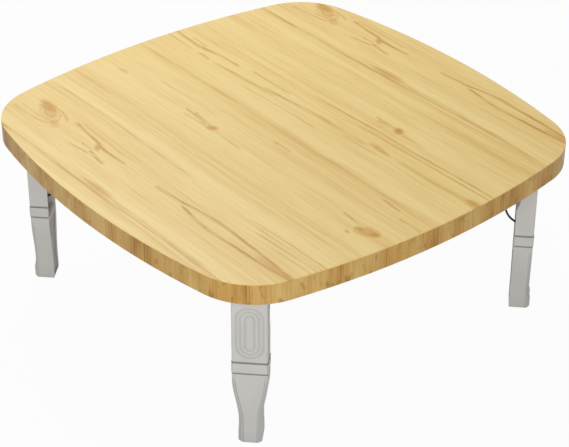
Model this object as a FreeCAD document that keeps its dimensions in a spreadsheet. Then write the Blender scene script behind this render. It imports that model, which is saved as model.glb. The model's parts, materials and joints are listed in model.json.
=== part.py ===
import FreeCAD, Part
import math
import os
import Sketcher

# Folding floor table: a bowed square board on four moulded legs. Each leg swings in under
# the board on two short rivets, and a bent spring wire snaps it over to either end.
# Lengths are in millimetres. The floor is at zero height and the table stands over the origin.

DIMENSIONS = {
    # Board: across the middle of two bowed sides, radius of a side, radius of a corner.
    "top_side": 600.0,
    "side_bow": 1083.0,
    "corner_radius": 90.0,
    "core_board": 25.9,
    "face_sheet": 1.0,
    "back_sheet": 0.6,
    "edge_strip": 1.5,
    "rim_round": 0.8,
    "under_height": 222.5,
    # Hinge: how far the leg stands in from the corner, and the axis below the board.
    "leg_inset": 30.4,
    "hinge_drop": 31.5,
    "front_reach": 14.5,
    "back_reach": 10.2,
    # Leg shell: upper block, waist grooves, taper to the ankle, flared toe.
    "leg_width": 43.0,
    "leg_wall": 3.0,
    "edge_soft": 2.5,
    "back_relief": 4.0,
    "relief_rise": 34.6,
    "relief_round": 20.0,
    "neck_below": 6.6,
    "neck_panel": 38.0,
    "neck_bevel": 2.2,
    "ankle_height": 29.0,
    "ankle_width": 27.8,
    "ankle_panel": 20.0,
    "ankle_bevel": 3.2,
    "toe_height": 14.0,
    "toe_width": 28.6,
    "toe_panel": 18.6,
    "toe_bevel": 3.2,
    "toe_reach": 16.9,
    "toe_edge": 3.2,
    "toe_chamfer": 0.9,
    "sole_floor": 3.0,
    "rib_clear": 20.0,
    "rib_sheet": 8.0,
    "band_drop": 72.6,
    "band_high": 15.8,
    "groove_width": 2.2,
    "groove_depth": 1.1,
    "band_proud": 0.5,
    # Sunk panel on the leg's front: three nested long rings.
    "panel_rise": 41.6,
    "panel_straight": 38.0,
    "outer_ring": 16.0,
    "middle_ring": 11.0,
    "inner_ring": 5.4,
    "ring_tool": 2.6,
    "ring_depth": 0.8,
    # Back cover and foot pad.
    "cover_sheet": 2.0,
    "cover_sink": 1.5,
    "pad_high": 2.5,
    "pad_proud": 1.5,
    "pad_margin": 3.6,
    "pad_round": 3.5,
    # Hinge bracket: plate under the board with two ears.
    "plate_sheet": 2.0,
    "plate_wide": 68.0,
    "plate_front": 16.0,
    "plate_back": 28.0,
    "plate_round": 8.0,
    "ear_sheet": 2.0,
    "ear_round": 9.6,
    "screw_front": 8.0,
    "screw_back": 20.0,
    "screw_aside": 27.5,
    "screw_size": 4.0,
    "screw_bite": 15.0,
    "screw_short": 1.0,
    "screw_head": 8.0,
    "head_high": 2.4,
    "cross_long": 4.6,
    "cross_slot": 1.1,
    "cross_deep": 1.2,
    # Rivets and washers.
    "rivet_size": 5.0,
    "rivet_head": 8.4,
    "rivet_crown": 0.8,
    "rivet_tail": 7.6,
    "tail_high": 1.5,
    "washer_size": 11.0,
    "washer_sheet": 2.3,
    # Spring wire with a hook on a pin at each end.
    "wire_size": 2.8,
    "anchor_arm": 8.0,
    "anchor_pin": 3.6,
    "leg_pin": 3.6,
    "leg_pin_in": 4.0,
    "leg_pin_drop": 61.7,
    "pin_socket": 1.5,
    "hook_slack": 2.4,
    "bow_in": 4.1,
    "bow_drop": 39.2,
    # Clearances.
    "turn_fit": 0.05,
    "swing_gap": 0.2,
    "side_gap": 0.1,
    "hook_gap": 0.3,
    "open_cut": 1.0,
}

CORNERS = {"front_right": -45, "rear_right": 45, "rear_left": 135, "front_left": 225}
HALF_TURN = 180
LOFT_STEPS = (0, 0.25, 0.5, 0.75, 1)
BOW_SWEEP = 0.95
DIAGONAL = math.sqrt(0.5)

doc = FreeCAD.newDocument("FoldingFloorTable")
sheet = doc.addObject("Spreadsheet::Sheet", "Dims")


class Size:
    """A length: its value now and the sheet expression that drives it."""

    def __init__(self, value, text):
        self.value = value
        self.text = text

    def join(self, other, sign, value):
        return Size(value, f"({self.text} {sign} {as_size(other).text})")

    def __add__(self, other):
        return self.join(other, "+", self.value + as_size(other).value)

    def __sub__(self, other):
        return self.join(other, "-", self.value - as_size(other).value)

    def __mul__(self, other):
        return self.join(other, "*", self.value * as_size(other).value)

    def __truediv__(self, other):
        return self.join(other, "/", self.value / as_size(other).value)

    def __neg__(self):
        return as_size(0).join(self, "-", -self.value)


def as_size(amount):
    """Turns a plain number into a Size."""
    if isinstance(amount, Size):
        return amount
    return Size(float(amount), f"{amount:.9g}" if amount >= 0 else f"(0 - {-amount:.9g})")


def root(amount):
    return Size(math.sqrt(amount.value), f"sqrt({amount.text})")


def fill_sheet():
    for row, (alias, amount) in enumerate(DIMENSIONS.items(), start=1):
        sheet.set(f"A{row}", alias.replace("_", " "))
        sheet.set(f"B{row}", str(amount))
        sheet.setAlias(f"B{row}", alias)
    doc.recompute()
    return {alias: Size(float(sheet.get(alias)), f"Dims.{alias}") for alias in DIMENSIONS}


def bind(thing, path, amount):
    """Ties one property of a document object to the sheet."""
    thing.setExpression(path, as_size(amount).text)


def new_body(label):
    body = doc.addObject("PartDesign::Body", label)
    body.Label = label
    body.AllowCompound = True
    return body


def new_sketch(body, label, role, shift=0):
    """A sketch on one of the body's own planes, moved along that plane's normal."""
    sketch = body.newObject("Sketcher::SketchObject", f"{body.Label}_{label}")
    plane = next(item for item in body.Origin.OriginFeatures if item.Role == role)
    sketch.AttachmentSupport = [(plane, "")]
    sketch.MapMode = "FlatFace"
    bind(sketch, "AttachmentOffset.Base.z", shift)
    return sketch


def hold(sketch, kind, edge, end, amount):
    """Holds one coordinate of a point at a size from the sketch's origin."""
    amount = as_size(amount)
    if amount.text == "0":
        axis = -2 if kind == "DistanceX" else -1
        sketch.addConstraint(Sketcher.Constraint("PointOnObject", edge, end, axis))
        return
    index = sketch.addConstraint(Sketcher.Constraint(kind, -1, 1, edge, end, amount.value))
    bind(sketch, f"Constraints[{index}]", amount)


def hold_point(sketch, edge, end, across, up):
    hold(sketch, "DistanceX", edge, end, across)
    hold(sketch, "DistanceY", edge, end, up)


def hold_radius(sketch, edge, amount):
    index = sketch.addConstraint(Sketcher.Constraint("Radius", edge, amount.value))
    bind(sketch, f"Constraints[{index}]", amount)


def flat(across, up):
    return FreeCAD.Vector(as_size(across).value, as_size(up).value, 0)


def arc_between(start, finish, radius):
    """The short arc from start to finish; a positive radius turns left along the way."""
    chord = finish - start
    half = chord.Length / 2
    rise = abs(radius) - math.sqrt(max(radius * radius - half * half, 0))
    right = FreeCAD.Vector(chord.y, -chord.x, 0) / chord.Length
    middle = (start + finish) / 2 + right * math.copysign(rise, radius)
    return Part.Arc(start, middle, finish)


def trace(sketch, corners):
    """A closed loop. A third entry in a corner is the radius of the arc to the next corner."""
    first = sketch.GeometryCount
    count = len(corners)
    begins, ends = [], []
    for index, corner in enumerate(corners):
        start = flat(*corner[:2])
        finish = flat(*corners[(index + 1) % count][:2])
        bend = corner[2] if len(corner) > 2 else None
        if bend is None:
            sketch.addGeometry(Part.LineSegment(start, finish), False)
        else:
            sketch.addGeometry(arc_between(start, finish, bend.value), False)
        turns_right = bend is not None and bend.value < 0
        begins.append(2 if turns_right else 1)
        ends.append(1 if turns_right else 2)
    for index in range(count):
        after = (index + 1) % count
        sketch.addConstraint(
            Sketcher.Constraint("Coincident", first + index, ends[index], first + after, begins[after])
        )
    for index, corner in enumerate(corners):
        hold_point(sketch, first + index, begins[index], *corner[:2])
        if len(corner) > 2:
            hold_radius(sketch, first + index, corner[2] if corner[2].value > 0 else -corner[2])


def ring(sketch, across, up, radius):
    """A full circle."""
    edge = sketch.addGeometry(Part.Circle(flat(across, up), FreeCAD.Vector(0, 0, 1), radius.value), False)
    hold_point(sketch, edge, 3, across, up)
    hold_radius(sketch, edge, radius)


def box_corners(left, low, right, high):
    return [(left, low), (right, low), (right, high), (left, high)]


def feature(body, kind, sketch, length, both_ways, upward):
    """A pad or pocket of a sketch; both_ways spreads it evenly about the sketch's plane."""
    made = body.newObject(f"PartDesign::{kind}", f"{sketch.Label}_{kind.lower()}")
    made.Profile = sketch
    bind(made, "Length", length)
    made.SideType = "Symmetric" if both_ways else "One side"
    made.Reversed = upward
    return made


def pad(body, sketch, length, both_ways=False, downward=False):
    made = feature(body, "Pad", sketch, length, both_ways, downward)
    doc.recompute()
    return made


def pocket(body, sketch, length, both_ways=False, upward=False):
    """Cuts a sketch out of the body and makes sure that something was cut."""
    before = body.Shape.Volume
    made = feature(body, "Pocket", sketch, length, both_ways, upward)
    doc.recompute()
    if not body.Shape.Volume < before - 1e-6:
        raise ValueError(f"{made.Label} cuts nothing")
    return made


def loft(body, kind, sections, straight=False):
    made = body.newObject(f"PartDesign::{kind}Loft", f"{sections[0].Label}_loft")
    made.Profile = sections[0]
    made.Sections = sections[1:]
    made.Ruled = straight
    doc.recompute()
    return made


def pipe(body, kind, profile, spine):
    made = body.newObject(f"PartDesign::{kind}Pipe", f"{spine.Label}_pipe")
    made.Profile = profile
    made.Spine = spine
    doc.recompute()
    return made


def soften(body, base, radius, wanted):
    """Rounds the edges of a feature that answer the wanted test."""
    names = [f"Edge{n}" for n, edge in enumerate(base.Shape.Edges, start=1) if wanted(edge)]
    made = body.newObject("PartDesign::Fillet", f"{base.Label}_round")
    made.Base = (base, names)
    bind(made, "Radius", radius)
    doc.recompute()
    return made


def is_upright(edge):
    ends = [vertex.Point for vertex in edge.Vertexes]
    if len(ends) < 2:
        return False
    run = ends[1] - ends[0]
    return abs(run.z) > 0.99 * edge.Length and abs(run.x) + abs(run.y) < 1e-6


def lies_at(height):
    def wanted(edge):
        box = edge.BoundBox
        return abs(box.ZMin - height) < 1e-6 and abs(box.ZMax - height) < 1e-6
    return wanted


dim = fill_sheet()

# Heights and reaches that follow from the driving sizes.
HALF_SIDE = dim["top_side"] / 2
BOW_OFFSET = dim["side_bow"] - HALF_SIDE
INNER_BOW = dim["side_bow"] - dim["corner_radius"]
CORNER_CENTRE = (root(INNER_BOW * INNER_BOW * 2 - BOW_OFFSET * BOW_OFFSET) - BOW_OFFSET) / 2
CORNER_REACH = CORNER_CENTRE / DIAGONAL + dim["corner_radius"]
HINGE_REACH = CORNER_REACH - dim["leg_inset"] - dim["front_reach"]
HINGE_HEIGHT = dim["under_height"] - dim["hinge_drop"]
PLATE_LOW = dim["under_height"] - dim["plate_sheet"]
CORE_LOW = dim["under_height"] + dim["back_sheet"]
CORE_HIGH = CORE_LOW + dim["core_board"]
LEG_SWING = dim["hinge_drop"] - dim["plate_sheet"] - dim["swing_gap"]
LEG_TOP = HINGE_HEIGHT + LEG_SWING
HIGH_GROOVE = HINGE_HEIGHT - dim["band_drop"]
LOW_GROOVE = HIGH_GROOVE - dim["band_high"]
NECK = LOW_GROOVE - dim["neck_below"]
RELIEF = HIGH_GROOVE + dim["relief_rise"]
PANEL = HIGH_GROOVE + dim["panel_rise"]
ABOVE_ALL = dim["leg_width"] * 1.5
HALF_LEG = dim["leg_width"] / 2
INNER_HALF = HALF_LEG - dim["leg_wall"]
EAR_HALF = INNER_HALF - dim["side_gap"] * 2 - dim["washer_sheet"]
SOLE = dim["pad_proud"]
RIVET_HOLE = dim["rivet_size"] / 2 + dim["turn_fit"]
ANCHOR_HOLE = dim["anchor_pin"] / 2 + dim["turn_fit"]
LEG_PIN_HOLE = dim["leg_pin"] / 2 + dim["turn_fit"]
SCREW_HOLE = dim["screw_size"] / 2 + dim["turn_fit"]

# Spring pins, measured from the hinge axis: x runs in toward the table's middle, z runs up.
# The anchor pin lies straight across the axis from the leg pin's place at half travel, so the
# wire is as long with the leg down as with the leg folded.
PIN_X = dim["leg_pin_in"]
PIN_Z = -dim["leg_pin_drop"]
PIN_ARM = root(PIN_X * PIN_X + PIN_Z * PIN_Z)
ANCHOR_X = -(dim["anchor_arm"] * (PIN_X - PIN_Z) * DIAGONAL / PIN_ARM)
ANCHOR_Z = -(dim["anchor_arm"] * (PIN_X + PIN_Z) * DIAGONAL / PIN_ARM)
HALF_WIRE = dim["wire_size"] / 2
HALF_SLACK = dim["hook_slack"] / 2
LOW_HOOK = dim["leg_pin"] / 2 + HALF_SLACK + dim["hook_gap"] + HALF_WIRE
HIGH_HOOK = dim["anchor_pin"] / 2 + dim["hook_gap"] + HALF_WIRE
HOOK_BOTTOM = HINGE_HEIGHT + PIN_Z - HALF_SLACK - LOW_HOOK - HALF_WIRE
RIB_HIGH = HOOK_BOTTOM - dim["rib_clear"]
RIB_LOW = RIB_HIGH - dim["rib_sheet"]


def bowed_square(sketch, inset):
    """Four bowed sides that meet in points."""
    bow = dim["side_bow"] - inset
    point = (root(bow * bow * 2 - BOW_OFFSET * BOW_OFFSET) - BOW_OFFSET) / 2
    trace(sketch, [(x, y, bow) for x, y in box_corners(-point, -point, point, point)])


def board_layer(label, inset, low, high):
    """One flat layer of the board, its corners rounded."""
    body = new_body(label)
    sketch = new_sketch(body, "outline", "XY_Plane", low)
    bowed_square(sketch, as_size(inset))
    layer = pad(body, sketch, high - low)
    return body, soften(body, layer, dim["corner_radius"] - inset, is_upright)


def screw_spots(angle):
    """The four screw centres of one corner, seen from the table's middle."""
    along = (math.cos(math.radians(angle)), math.sin(math.radians(angle)))
    for inward in (-dim["screw_front"], dim["screw_back"]):
        for aside in (-dim["screw_aside"], dim["screw_aside"]):
            reach = HINGE_REACH - inward
            yield reach * along[0] + aside * along[1], reach * along[1] - aside * along[0]


def drill_screws(body, low, depth):
    sketch = new_sketch(body, "screw_holes", "XY_Plane", low)
    for angle in CORNERS.values():
        for x, y in screw_spots(angle):
            ring(sketch, x, y, SCREW_HOLE)
    pocket(body, sketch, depth, upward=True)


def make_board():
    """Core, face and back sheets, and the strip around the edge."""
    core, _ = board_layer("top_core", dim["edge_strip"], CORE_LOW, CORE_HIGH)
    drill_screws(core, CORE_LOW, dim["screw_bite"])

    back, _ = board_layer("back_laminate", dim["edge_strip"], dim["under_height"], CORE_LOW)
    drill_screws(back, dim["under_height"], dim["back_sheet"])

    face_high = CORE_HIGH + dim["face_sheet"]
    face, rounded = board_layer("face_laminate", 0, CORE_HIGH, face_high)
    soften(face, rounded, dim["rim_round"], lies_at(face_high.value))

    outside, rounded = board_layer("strip_outside", 0, dim["under_height"], CORE_HIGH)
    soften(outside, rounded, dim["rim_round"], lies_at(dim["under_height"].value))
    inside, _ = board_layer("strip_inside", dim["edge_strip"], dim["under_height"], CORE_HIGH)
    strip = doc.addObject("Part::Cut", "edge_band")
    strip.Base = outside
    strip.Tool = inside
    doc.recompute()
    return [core, back, face, strip]


def leg_section(height, width, panel, front, bevel):
    """Outline of the lower leg at one height: flat front panel, bevels, straight sides."""
    return {"height": height, "width": width, "panel": panel, "front": front, "bevel": bevel}


def blend(first, last, share):
    return first + (last - first) * share


def ease(share):
    """Two equal bends, one out and one in."""
    share = as_size(share)
    rest = as_size(1) - share
    return share * share * 2 if share.value < 0.5 else as_size(1) - rest * rest * 2


def taper_section(share):
    """The leg between neck (0) and ankle (1)."""
    eased = ease(share)
    return leg_section(
        blend(NECK, dim["ankle_height"], share),
        blend(dim["leg_width"], dim["ankle_width"], eased),
        blend(dim["neck_panel"], dim["ankle_panel"], eased),
        dim["front_reach"],
        blend(dim["neck_bevel"], dim["ankle_bevel"], eased),
    )


def toe_section(share):
    """The leg between ankle (0) and toe (1), flaring toward the front."""
    eased = ease(share)
    return leg_section(
        blend(dim["ankle_height"], dim["toe_height"], share),
        blend(dim["ankle_width"], dim["toe_width"], eased),
        blend(dim["ankle_panel"], dim["toe_panel"], eased),
        blend(dim["front_reach"], dim["toe_reach"], eased),
        blend(dim["ankle_bevel"], dim["toe_bevel"], eased),
    )


def at_height(section, height):
    return dict(section, height=height)


def section_sketch(body, label, section, inset, back):
    """Draws a section, drawn in by an even inset all round but the back."""
    sketch = new_sketch(body, label, "XY_Plane", section["height"])
    inset = as_size(inset)
    half = section["width"] / 2 - inset
    panel = section["panel"] / 2 - inset * 0.4
    front = inset - section["front"]
    shoulder = front + section["bevel"]
    trace(sketch, [
        (front, -panel), (shoulder, -half), (back, -half),
        (back, half), (shoulder, half), (front, panel),
    ])
    return sketch


def lower_leg(body, kind, label, inset, back, high, low):
    """Lofts the lower leg from a height by the neck: the taper, the flare and the upright toe."""
    first = (NECK - high) / (NECK - dim["ankle_height"])
    toe = toe_section(1)
    runs = {
        "taper": [taper_section(share) for share in (first, *LOFT_STEPS[1:])],
        "flare": [toe_section(share) for share in LOFT_STEPS],
        "toe": [toe, at_height(toe, low)],
    }
    for run, sections in runs.items():
        sketches = [
            section_sketch(body, f"{label}_{run}_{n}", section, inset, back)
            for n, section in enumerate(sections)
        ]
        loft(body, kind, sketches, straight=run == "toe")


def ring_groove(body, label, radius):
    """A shallow round-bottomed groove along a long ring on the leg's front face."""
    straight = dim["panel_straight"] / 2
    low = PANEL - straight
    high = PANEL + straight
    spine = new_sketch(body, f"{label}_spine", "YZ_Plane", -dim["front_reach"])
    up = FreeCAD.Vector(0, 0, 1)
    bottom = Part.Circle(flat(0, low), up, radius.value)
    top = Part.Circle(flat(0, high), up, radius.value)
    spine.addGeometry([
        Part.LineSegment(flat(radius, low), flat(radius, high)),
        Part.ArcOfCircle(top, 0, math.pi),
        Part.LineSegment(flat(-radius, high), flat(-radius, low)),
        Part.ArcOfCircle(bottom, math.pi, 2 * math.pi),
    ], False)
    for edge in range(4):
        spine.addConstraint(Sketcher.Constraint("Coincident", edge, 2, (edge + 1) % 4, 1))
    hold_point(spine, 0, 1, radius, low)
    hold_point(spine, 1, 1, radius, high)
    hold_point(spine, 2, 1, -radius, high)
    hold_point(spine, 3, 1, -radius, low)
    hold(spine, "DistanceY", 1, 3, high)
    hold(spine, "DistanceY", 3, 3, low)
    profile = new_sketch(body, f"{label}_cutter", "XY_Plane", low)
    ring(profile, -dim["front_reach"] - dim["ring_tool"] + dim["ring_depth"], radius, dim["ring_tool"])
    pipe(body, "Subtractive", profile, spine)


def waist_groove(body, label, height):
    """A square groove around the front and both sides of the leg."""
    sketch = new_sketch(body, label, "XY_Plane", height - dim["groove_width"] / 2)
    front = dim["groove_depth"] - dim["front_reach"]
    side = HALF_LEG - dim["groove_depth"]
    out_front = -dim["front_reach"] - ABOVE_ALL
    out_side = HALF_LEG + ABOVE_ALL
    out_back = dim["back_reach"] + ABOVE_ALL
    trace(sketch, [
        (out_front, -out_side), (out_back, -out_side), (out_back, -side), (front, -side),
        (front, side), (out_back, side), (out_back, out_side), (out_front, out_side),
    ])
    pocket(body, sketch, dim["groove_width"], upward=True)


def make_leg_shell(body):
    """Moulded leg: hollow behind, with an open bay at the top for the hinge."""
    back = dim["back_reach"]
    front = -dim["front_reach"]
    bend = dim["relief_round"]
    half_relief = dim["back_relief"] / 2
    bend_rise = root(bend * half_relief * 2 - half_relief * half_relief)
    relief = back - dim["back_relief"]
    crown = HINGE_HEIGHT + root(LEG_SWING * LEG_SWING - relief * relief)

    block = new_sketch(body, "block", "XZ_Plane")
    trace(block, [
        (front, NECK),
        (back, NECK),
        (back, RELIEF, bend),
        (back - half_relief, RELIEF + bend_rise, -bend),
        (relief, RELIEF + bend_rise * 2),
        (relief, crown, LEG_SWING),
        (0, LEG_TOP),
        (front, LEG_TOP),
    ])
    upper = pad(body, block, dim["leg_width"], both_ways=True)
    soften(body, upper, dim["edge_soft"], lambda e: is_upright(e) and e.BoundBox.XMin < front.value + 1e-6)

    lower_leg(body, "Additive", "outer", 0, back, NECK, dim["toe_edge"])
    chamfer = dim["toe_chamfer"]
    toe = toe_section(1)
    loft(body, "Additive", [
        section_sketch(body, "toe_edge", at_height(toe, dim["toe_edge"]), 0, back),
        section_sketch(body, "toe_sole", at_height(toe, SOLE), chamfer, back - chamfer),
    ], straight=True)

    band = new_sketch(body, "band", "XY_Plane", LOW_GROOVE)
    proud = leg_section(
        0, dim["leg_width"] + dim["band_proud"] * 2, dim["leg_width"] - dim["edge_soft"],
        dim["front_reach"] + dim["band_proud"], dim["edge_soft"],
    )
    half = proud["width"] / 2
    panel = proud["panel"] / 2
    shoulder = proud["bevel"] - proud["front"]
    trace(band, [
        (-proud["front"], -panel), (shoulder, -half), (back, -half),
        (back, half), (shoulder, half), (-proud["front"], panel),
    ])
    pad(body, band, HIGH_GROOVE - LOW_GROOVE)
    waist_groove(body, "groove_low", LOW_GROOVE)
    waist_groove(body, "groove_high", HIGH_GROOVE)

    for name in ("outer_ring", "middle_ring", "inner_ring"):
        ring_groove(body, name, dim[name])

    bay = new_sketch(body, "hinge_bay", "XZ_Plane")
    inside = front + dim["leg_wall"]
    slope = RIB_HIGH - dim["leg_wall"]
    trace(bay, [
        (inside, RIB_HIGH), (back - dim["leg_wall"], RIB_HIGH), (back + dim["open_cut"], slope),
        (back + ABOVE_ALL, slope), (back + ABOVE_ALL, LEG_TOP + ABOVE_ALL), (inside, LEG_TOP + ABOVE_ALL),
    ])
    pocket(body, bay, INNER_HALF * 2, both_ways=True)
    open_back = back + dim["open_cut"]
    lower_leg(body, "Subtractive", "inner", dim["leg_wall"], open_back, RIB_LOW, SOLE + dim["sole_floor"])

    rivets = new_sketch(body, "rivet_holes", "XZ_Plane")
    ring(rivets, 0, HINGE_HEIGHT, RIVET_HOLE)
    pocket(body, rivets, dim["leg_width"] * 2, both_ways=True)
    sockets = new_sketch(body, "pin_sockets", "XZ_Plane")
    ring(sockets, PIN_X, HINGE_HEIGHT + PIN_Z, LEG_PIN_HOLE)
    pocket(body, sockets, (INNER_HALF + dim["pin_socket"] + dim["side_gap"]) * 2, both_ways=True)

    seat = new_sketch(body, "pad_seat", "XY_Plane", SOLE)
    trace(seat, pad_outline(dim["pad_margin"] - dim["side_gap"]))
    pocket(body, seat, dim["pad_high"] - dim["pad_proud"], upward=True)


def pad_outline(margin):
    """Rounded foot pad outline, set in from the sole by a margin."""
    left = margin - dim["toe_reach"]
    right = dim["back_reach"] - margin
    half = dim["toe_width"] / 2 - margin
    bend = dim["pad_round"]
    return [
        (left + bend, -half), (right - bend, -half, bend), (right, bend - half), (right, half - bend, bend),
        (right - bend, half), (left + bend, half, bend), (left, half - bend), (left, bend - half, bend),
    ]


def make_foot_pad(body):
    sketch = new_sketch(body, "outline", "XY_Plane")
    trace(sketch, pad_outline(dim["pad_margin"]))
    pad(body, sketch, dim["pad_high"])


def make_back_cover(body):
    """Plate that closes the lower hollow, sunk between the side walls."""
    gap = dim["side_gap"]
    outside = dim["back_reach"] - dim["cover_sink"]
    low = SOLE + dim["sole_floor"] + gap
    lower_leg(body, "Additive", "edge", dim["leg_wall"] + gap, outside, RIB_LOW - gap, low)
    inside = new_sketch(body, "inside", "XZ_Plane")
    trace(inside, box_corners(
        -dim["toe_reach"] - ABOVE_ALL, SOLE - ABOVE_ALL, outside - dim["cover_sheet"], LEG_TOP,
    ))
    pocket(body, inside, dim["leg_width"] * 2, both_ways=True)


def make_bracket(body):
    """Steel plate against the board with two ears that carry the rivets."""
    plate = new_sketch(body, "plate", "XY_Plane", PLATE_LOW)
    half = dim["plate_wide"] / 2
    trace(plate, box_corners(-dim["plate_front"], -half, dim["plate_back"], half))
    flat_plate = pad(body, plate, dim["plate_sheet"])
    soften(body, flat_plate, dim["plate_round"], is_upright)

    ear = new_sketch(body, "ears", "XZ_Plane")
    bend = dim["ear_round"]
    trace(ear, [
        (-bend, HINGE_HEIGHT, bend), (0, HINGE_HEIGHT - bend, bend), (bend, HINGE_HEIGHT),
        (bend * 1.5, PLATE_LOW), (-bend, PLATE_LOW),
    ])
    pad(body, ear, EAR_HALF * 2, both_ways=True)
    between = new_sketch(body, "between_ears", "XZ_Plane")
    trace(between, box_corners(-dim["leg_width"], HINGE_HEIGHT - bend * 2, dim["leg_width"], PLATE_LOW))
    pocket(body, between, (EAR_HALF - dim["ear_sheet"]) * 2, both_ways=True)

    holes = new_sketch(body, "ear_holes", "XZ_Plane")
    ring(holes, 0, HINGE_HEIGHT, RIVET_HOLE)
    ring(holes, ANCHOR_X, HINGE_HEIGHT + ANCHOR_Z, ANCHOR_HOLE)
    pocket(body, holes, dim["leg_width"] * 2, both_ways=True)
    screws = new_sketch(body, "screw_holes", "XY_Plane", PLATE_LOW)
    for x, y in local_screws():
        ring(screws, x, y, SCREW_HOLE)
    pocket(body, screws, dim["plate_sheet"], upward=True)


def local_screws():
    for x in (-dim["screw_front"], dim["screw_back"]):
        for y in (-dim["screw_aside"], dim["screw_aside"]):
            yield x, y


def make_screws(body):
    """Four round-head wood screws with a cross recess."""
    shanks = new_sketch(body, "shanks", "XY_Plane", PLATE_LOW)
    heads = new_sketch(body, "heads", "XY_Plane", PLATE_LOW)
    recess = new_sketch(body, "recess", "XY_Plane", PLATE_LOW - dim["head_high"])
    for x, y in local_screws():
        ring(shanks, x, y, dim["screw_size"] / 2)
        ring(heads, x, y, dim["screw_head"] / 2)
        cross(recess, x, y)
    pad(body, shanks, dim["plate_sheet"] + dim["back_sheet"] + dim["screw_bite"] - dim["screw_short"])
    domes = pad(body, heads, dim["head_high"], downward=True)
    low = PLATE_LOW - dim["head_high"]
    soften(body, domes, dim["head_high"] * 0.6, lies_at(low.value))
    pocket(body, recess, dim["cross_deep"], upward=True)


def cross(sketch, x, y):
    long = dim["cross_long"] / 2
    slot = dim["cross_slot"] / 2
    steps = [
        (-slot, -long), (slot, -long), (slot, -slot), (long, -slot), (long, slot), (slot, slot),
        (slot, long), (-slot, long), (-slot, slot), (-long, slot), (-long, -slot), (-slot, -slot),
    ]
    trace(sketch, [(x + across, y + up) for across, up in steps])


def turned_pair(body, profile):
    """Two turned pieces on the hinge axis, mirrored to either side of the leg."""
    sketch = new_sketch(body, "profile", "XY_Plane", HINGE_HEIGHT)
    trace(sketch, profile)
    trace(sketch, [(x, -y) for x, y in reversed(profile)])
    turned = body.newObject("PartDesign::Revolution", f"{body.Label}_turned")
    turned.Profile = sketch
    turned.ReferenceAxis = (sketch, ["V_Axis"])
    turned.Angle = 360
    doc.recompute()


def make_rivets(body):
    """Short rivets: crowned head outside the leg, spread tail inside the bracket ear."""
    shank = dim["rivet_size"] / 2
    head = dim["rivet_head"] / 2
    tail = dim["rivet_tail"] / 2
    seat = HALF_LEG + dim["turn_fit"]
    inner = EAR_HALF - dim["ear_sheet"] - dim["side_gap"]
    crown = dim["rivet_crown"]
    turned_pair(body, [
        (0, inner - dim["tail_high"]), (tail - dim["tail_high"] * 0.5, inner - dim["tail_high"]),
        (tail, inner - dim["tail_high"] * 0.5), (tail, inner), (shank, inner), (shank, seat),
        (head, seat), (head, seat + crown * 0.4), (head * 0.84, seat + crown * 0.8),
        (head * 0.5, seat + crown), (0, seat + crown),
    ])


def make_washers(body):
    """Plain washers between each bracket ear and the leg's side wall."""
    bore = RIVET_HOLE
    rim = dim["washer_size"] / 2
    near = EAR_HALF + dim["side_gap"]
    turned_pair(body, box_corners(bore, near, rim, near + dim["washer_sheet"]))


def cross_pin(body, x, z, radius, length):
    sketch = new_sketch(body, "round", "XZ_Plane")
    ring(sketch, x, HINGE_HEIGHT + z, radius)
    pad(body, sketch, length, both_ways=True)


def make_anchor_pin(body):
    cross_pin(body, ANCHOR_X, ANCHOR_Z, dim["anchor_pin"] / 2, EAR_HALF * 2 + dim["ear_sheet"])


def make_leg_pin(body):
    cross_pin(body, PIN_X, PIN_Z, dim["leg_pin"] / 2, (INNER_HALF + dim["pin_socket"]) * 2)


def outer_tangent(first, first_radius, last, last_radius):
    """Angle of the two radii that meet a line laid along the right of two left-hand turns."""
    run = last - first
    lean = math.asin((first_radius - last_radius) / run.Length)
    return math.atan2(run.y, run.x) - math.pi / 2 + lean


def make_bow_spring(body):
    """Spring wire bowed in behind the leg, hooked under the leg pin and over the anchor pin."""
    run_x = PIN_X - ANCHOR_X
    run_z = PIN_Z - ANCHOR_Z
    chord = root(run_x * run_x + run_z * run_z)
    low = (PIN_X + run_x / chord * HALF_SLACK, HINGE_HEIGHT + PIN_Z + run_z / chord * HALF_SLACK)
    high = (ANCHOR_X, HINGE_HEIGHT + ANCHOR_Z)
    bow = (-dim["bow_in"], HINGE_HEIGHT - dim["bow_drop"])
    rise_x = bow[0] - low[0]
    rise_z = bow[1] - low[1]
    bow_round = LOW_HOOK + root(rise_x * rise_x + rise_z * rise_z) * BOW_SWEEP

    spine = new_sketch(body, "spine", "XZ_Plane")
    turns = [(low, LOW_HOOK), (bow, bow_round), (high, HIGH_HOOK)]
    centres = [flat(*centre) for centre, _ in turns]
    radii = [radius.value for _, radius in turns]
    lower = outer_tangent(centres[0], radii[0], centres[1], radii[1])
    upper = outer_tangent(centres[1], radii[1], centres[2], radii[2])
    normals = (lower, upper)
    spans = [(math.pi / 2 - 2 * math.pi, lower), (lower, upper), (upper, 1.5 * math.pi)]

    def on_turn(index, angle):
        return centres[index] + FreeCAD.Vector(math.cos(angle), math.sin(angle), 0) * radii[index]

    for index, (begin, end) in enumerate(spans):
        circle = Part.Circle(centres[index], FreeCAD.Vector(0, 0, 1), radii[index])
        spine.addGeometry(Part.ArcOfCircle(circle, begin, end), False)
        if index < 2:
            angle = normals[index]
            spine.addGeometry(Part.LineSegment(on_turn(index, angle), on_turn(index + 1, angle)), False)
    for index, (centre, radius) in enumerate(turns):
        hold_point(spine, index * 2, 3, *centre)
        hold_radius(spine, index * 2, radius)
    for edge in range(4):
        spine.addConstraint(Sketcher.Constraint("Tangent", edge, 2, edge + 1, 1))
    spine.addConstraint(Sketcher.Constraint("Vertical", 0, 1, 0, 3))
    spine.addConstraint(Sketcher.Constraint("Vertical", 4, 2, 4, 3))

    profile = new_sketch(body, "wire", "YZ_Plane", low[0])
    ring(profile, 0, low[1] + LOW_HOOK, HALF_WIRE)
    pipe(body, "Additive", profile, spine)


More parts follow.
